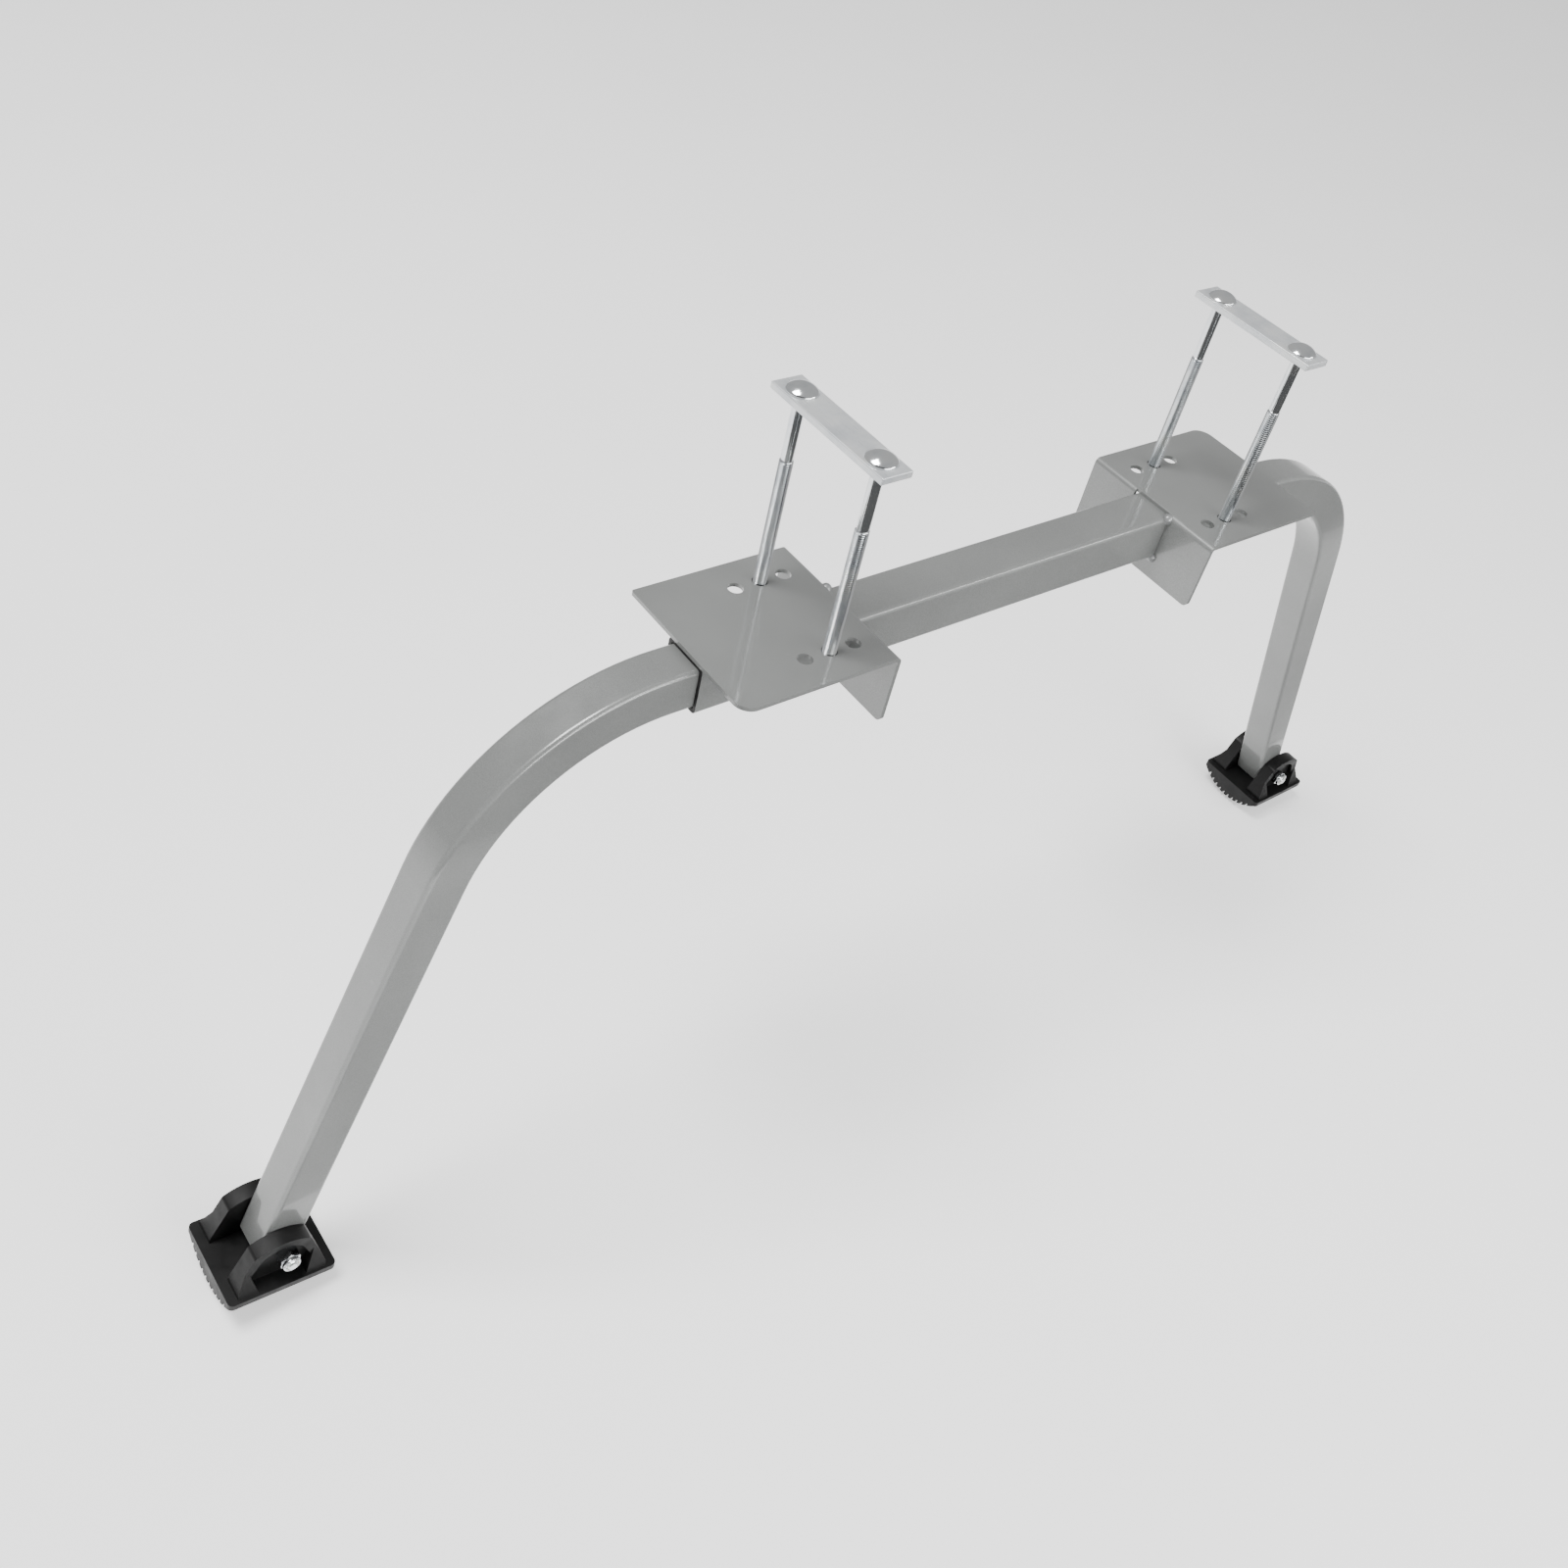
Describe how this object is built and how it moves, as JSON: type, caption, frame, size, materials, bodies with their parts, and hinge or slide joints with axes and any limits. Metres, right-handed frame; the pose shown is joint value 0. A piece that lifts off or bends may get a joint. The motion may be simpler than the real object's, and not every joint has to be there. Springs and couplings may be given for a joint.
{
  "type": "ladder stabilizer",
  "caption": "Ladder stabilizer: square sleeve with two bolt-on ladder brackets and two bent tube arms that end in swivelling non-slip shoes.",
  "frame": {"origin": "middle of the ladder seat: the plane of both bracket plates' top faces, half way between the brackets", "axes": "+X along the sleeve; +Y across the plates, away from the side with the shoes' nuts; +Z from the wall towards the ladder"},
  "size_m": [1.2353, 0.128, 0.6465],
  "materials": {
    "grey_powder_coat": "semi-gloss mid-grey powder coat with fine orange peel",
    "zinc_plate": "bright zinc plate",
    "black_moulding": "hard black moulded rubber, satin",
    "nylon_insert": "off-white nylon"
  },
  "bodies": {
    "frame": {"centre_sleeve": "grey_powder_coat", "left_bracket": "grey_powder_coat", "left_bracket_welds": "grey_powder_coat", "left_arm": "grey_powder_coat", "left_arm_screws": "zinc_plate", "right_bracket": "grey_powder_coat", "right_bracket_welds": "grey_powder_coat", "right_arm": "grey_powder_coat", "right_arm_screws": "zinc_plate", "left_front_clamp_washer": "zinc_plate", "left_rear_clamp_washer": "zinc_plate", "right_front_clamp_washer": "zinc_plate", "right_rear_clamp_washer": "zinc_plate"},
    "left_clamp": {"left_clamp_bar": "zinc_plate", "left_front_clamp_bolt": "zinc_plate", "left_rear_clamp_bolt": "zinc_plate"},
    "left_front_nut": {"left_front_clamp_nut": "zinc_plate"},
    "left_rear_nut": {"left_rear_clamp_nut": "zinc_plate"},
    "left_shoe": {"left_shoe": "black_moulding", "left_shoe_bolt": "zinc_plate", "left_shoe_lock_nut": "zinc_plate", "left_shoe_nut_ring": "nylon_insert"},
    "right_clamp": {"right_clamp_bar": "zinc_plate", "right_front_clamp_bolt": "zinc_plate", "right_rear_clamp_bolt": "zinc_plate"},
    "right_front_nut": {"right_front_clamp_nut": "zinc_plate"},
    "right_rear_nut": {"right_rear_clamp_nut": "zinc_plate"},
    "right_shoe": {"right_shoe": "black_moulding", "right_shoe_bolt": "zinc_plate", "right_shoe_lock_nut": "zinc_plate", "right_shoe_nut_ring": "nylon_insert"}
  },
  "joints": [
    {"name": "left_clamp_slide", "type": "slide", "parent": "frame", "child": "left_clamp", "axis": [0, 0, -1], "range_m": [-0.005, 0.095]},
    {"name": "left_front_nut_spin", "type": "hinge", "parent": "frame", "child": "left_front_nut", "pos_m": [-0.198, -0.039, -0.0093], "axis": [0, 0, 1], "range_deg": [-1140, 21550]},
    {"name": "left_rear_nut_spin", "type": "hinge", "parent": "frame", "child": "left_rear_nut", "pos_m": [-0.198, 0.039, -0.0093], "axis": [0, 0, 1], "range_deg": [-1140, 21550]},
    {"name": "left_shoe_swivel", "type": "hinge", "parent": "frame", "child": "left_shoe", "pos_m": [-0.56992, 0, -0.45227], "axis": [0, 1, 0], "range_deg": [-68, 92]},
    {"name": "right_clamp_slide", "type": "slide", "parent": "frame", "child": "right_clamp", "axis": [0, 0, -1], "range_m": [-0.005, 0.095]},
    {"name": "right_front_nut_spin", "type": "hinge", "parent": "frame", "child": "right_front_nut", "pos_m": [0.198, -0.039, -0.0093], "axis": [0, 0, 1], "range_deg": [-1140, 21550]},
    {"name": "right_rear_nut_spin", "type": "hinge", "parent": "frame", "child": "right_rear_nut", "pos_m": [0.198, 0.039, -0.0093], "axis": [0, 0, 1], "range_deg": [-1140, 21550]},
    {"name": "right_shoe_swivel", "type": "hinge", "parent": "frame", "child": "right_shoe", "pos_m": [0.56992, 0, -0.45227], "axis": [0, -1, 0], "range_deg": [-60, 100]}
  ],
  "couplings": [
    {"joint": "left_front_nut_spin", "follows": "left_clamp_slide", "rad_per_m": 3957.9},
    {"joint": "left_rear_nut_spin", "follows": "left_clamp_slide", "rad_per_m": 3957.9},
    {"joint": "right_front_nut_spin", "follows": "right_clamp_slide", "rad_per_m": 3957.9},
    {"joint": "right_rear_nut_spin", "follows": "right_clamp_slide", "rad_per_m": 3957.9}
  ]
}
